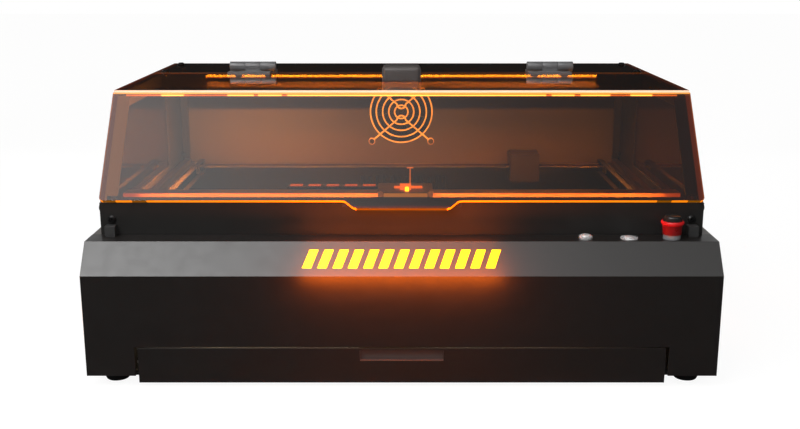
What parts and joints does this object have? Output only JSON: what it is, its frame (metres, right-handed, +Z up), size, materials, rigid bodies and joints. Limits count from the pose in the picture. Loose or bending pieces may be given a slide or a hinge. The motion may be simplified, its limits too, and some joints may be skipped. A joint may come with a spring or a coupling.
{
  "type": "desktop laser cutter",
  "caption": "Desktop laser cutter with a hinged amber hood, a two-axis gantry with a focusing laser head, an exhaust fan, push controls and a waste drawer.",
  "frame": {"origin": "centre of the footprint, at the floor under the feet", "axes": "+X to the machine's right as seen from its front, +Y to the rear, +Z up"},
  "size_m": [0.65, 0.51, 0.3075],
  "materials": {
    "powder_coat": "fine textured charcoal powder coat, satin",
    "dark_frame": "fine textured dark powder coat, satin",
    "rubber_foot": "matte black rubber",
    "black_screw": "black oxide steel",
    "amber_acrylic": "clear amber acrylic sheet, polished, with edges that glow orange",
    "led_light": "lit warm light strip, emissive",
    "hinge_metal": "grey satin",
    "bare_steel": "turned and zinc-plated steel",
    "black_plastic": "black moulded plastic",
    "guard_wire": "bright plated wire",
    "bed_aluminium": "satin aluminium",
    "rail_aluminium": "satin anodised aluminium",
    "motor_black": "black painted laminations",
    "belt_rubber": "toothed black rubber",
    "supply_case": "zinc-plated sheet, perforated",
    "circuit_board": "green solder mask",
    "grey_plastic": "grey moulded plastic",
    "button_chrome": "polished metal",
    "sign_light": "lit warm diffuser, emissive",
    "pod_plastic": "satin grey plastic",
    "lens_glass": "dark coated lens",
    "drawer_steel": "dark powder coat",
    "black_anodised": "black anodised",
    "head_metal": "black anodised, finned",
    "brass_nozzle": "turned brass",
    "stop_red": "red moulded plastic",
    "rocker_plastic": "black moulded plastic"
  },
  "bodies": {
    "chassis": {"floor_plate": "powder_coat", "front_fascia": "powder_coat", "deck_plate": "powder_coat", "left_side_panel": "powder_coat", "right_side_panel": "powder_coat", "rear_panel": "powder_coat", "feet": "rubber_foot", "case_screws": "black_screw", "rim_front": "dark_frame", "side_frames": "dark_frame", "rear_wall": "dark_frame", "side_windows": "amber_acrylic", "rear_top_panel": "amber_acrylic", "hinge_rail": "dark_frame", "led_strip": "led_light", "hinge_leaves_fixed": "hinge_metal", "hinge_pins": "bare_steel", "fan_frame": "black_plastic", "fan_guard": "guard_wire", "fan_screws": "bare_steel", "exhaust_spigot": "black_plastic", "bed_frame": "bed_aluminium", "bed_blades": "bed_aluminium", "y_rails": "rail_aluminium", "y_motor": "motor_black", "y_belts": "belt_rubber", "power_supply": "supply_case", "controller_board": "circuit_board", "power_inlet": "black_plastic", "estop_collar": "grey_plastic", "button_bezels": "button_chrome", "corner_brackets": "hinge_metal", "light_sign": "sign_light", "drawer_runners": "bare_steel"},
    "lid": {"lid_front_panel": "amber_acrylic", "lid_top_panel": "amber_acrylic", "lid_hinge_leaves": "hinge_metal", "lid_hinge_screws": "black_screw", "camera_pod": "pod_plastic", "camera_lens": "lens_glass"},
    "drawer": {"drawer_front": "powder_coat", "drawer_tray": "drawer_steel"},
    "gantry": {"x_beam": "rail_aluminium", "gantry_trucks": "black_anodised", "x_motor": "motor_black", "x_belt": "belt_rubber"},
    "x_drive": {"x_drive_pulley": "bare_steel"},
    "x_idler": {"x_idler_pulley": "bare_steel"},
    "carriage": {"carriage_plate": "black_anodised", "cable_chain": "black_plastic"},
    "head": {"laser_head": "head_metal", "laser_nozzle": "brass_nozzle"},
    "y_drive": {"y_shaft": "bare_steel"},
    "y_idlers": {"belt_idlers": "bare_steel"},
    "rotor": {"fan_rotor": "black_plastic"},
    "stop_plunger": {"estop_plunger": "grey_plastic"},
    "stop_head": {"estop_head": "stop_red"},
    "start": {"start_button": "button_chrome"},
    "mode": {"mode_button": "button_chrome"},
    "rocker": {"power_rocker": "rocker_plastic"}
  },
  "joints": [
    {"name": "lid_hinge", "type": "hinge", "parent": "chassis", "child": "lid", "pos_m": [0, 0.068, 0.2996], "axis": [-1, 0, 0], "range_deg": [0, 95]},
    {"name": "drawer_slide", "type": "slide", "parent": "chassis", "child": "drawer", "axis": [0, -1, 0], "range_m": [0, 0.3]},
    {"name": "gantry_travel", "type": "slide", "parent": "chassis", "child": "gantry", "axis": [0, 1, 0], "range_m": [0, 0.24]},
    {"name": "head_travel", "type": "slide", "parent": "gantry", "child": "carriage", "axis": [1, 0, 0], "range_m": [-0.17, 0.23]},
    {"name": "focus_slide", "type": "slide", "parent": "carriage", "child": "head", "axis": [0, 0, 1], "range_m": [-0.03, 0]},
    {"name": "x_drive_turn", "type": "hinge", "parent": "gantry", "child": "x_drive", "pos_m": [-0.245, -0.107, 0.168], "axis": [0, 0, 1], "range_deg": [-2400, 2400]},
    {"name": "x_idler_turn", "type": "hinge", "parent": "gantry", "child": "x_idler", "pos_m": [0.262, -0.107, 0.168], "axis": [0, 0, 1], "range_deg": [-2400, 2400]},
    {"name": "y_drive_turn", "type": "hinge", "parent": "chassis", "child": "y_drive", "pos_m": [0, 0.17, 0.151], "axis": [1, 0, 0], "range_deg": [-2100, 2100]},
    {"name": "y_idler_turn", "type": "hinge", "parent": "chassis", "child": "y_idlers", "pos_m": [0, -0.185, 0.151], "axis": [1, 0, 0], "range_deg": [-2100, 2100]},
    {"name": "fan_spin", "type": "hinge", "parent": "chassis", "child": "rotor", "pos_m": [0, 0.207, 0.2235], "axis": [0, 1, 0], "continuous": true},
    {"name": "stop_press", "type": "slide", "parent": "chassis", "child": "stop_plunger", "axis": [0, 0, -1], "range_m": [0, 0.0025], "stiffness_N_per_m": 800},
    {"name": "stop_twist", "type": "hinge", "parent": "stop_plunger", "child": "stop_head", "pos_m": [0.279, -0.22, 0.165], "axis": [0, 0, 1], "range_deg": [-30, 0], "stiffness_Nm_per_rad": 0.05},
    {"name": "start_press", "type": "slide", "parent": "chassis", "child": "start", "axis": [0, 0, -1], "range_m": [0, 0.0015], "stiffness_N_per_m": 600},
    {"name": "mode_press", "type": "slide", "parent": "chassis", "child": "mode", "axis": [0, 0, -1], "range_m": [0, 0.0015], "stiffness_N_per_m": 600},
    {"name": "rocker_tilt", "type": "hinge", "parent": "chassis", "child": "rocker", "pos_m": [-0.242, 0.248, 0.062], "axis": [1, 0, 0], "range_deg": [0, 14]}
  ],
  "couplings": [
    {"joint": "x_drive_turn", "follows": "head_travel", "rad_per_m": -166.67},
    {"joint": "x_idler_turn", "follows": "head_travel", "rad_per_m": -166.67},
    {"joint": "y_drive_turn", "follows": "gantry_travel", "rad_per_m": -133.33},
    {"joint": "y_idler_turn", "follows": "gantry_travel", "rad_per_m": -133.33}
  ]
}
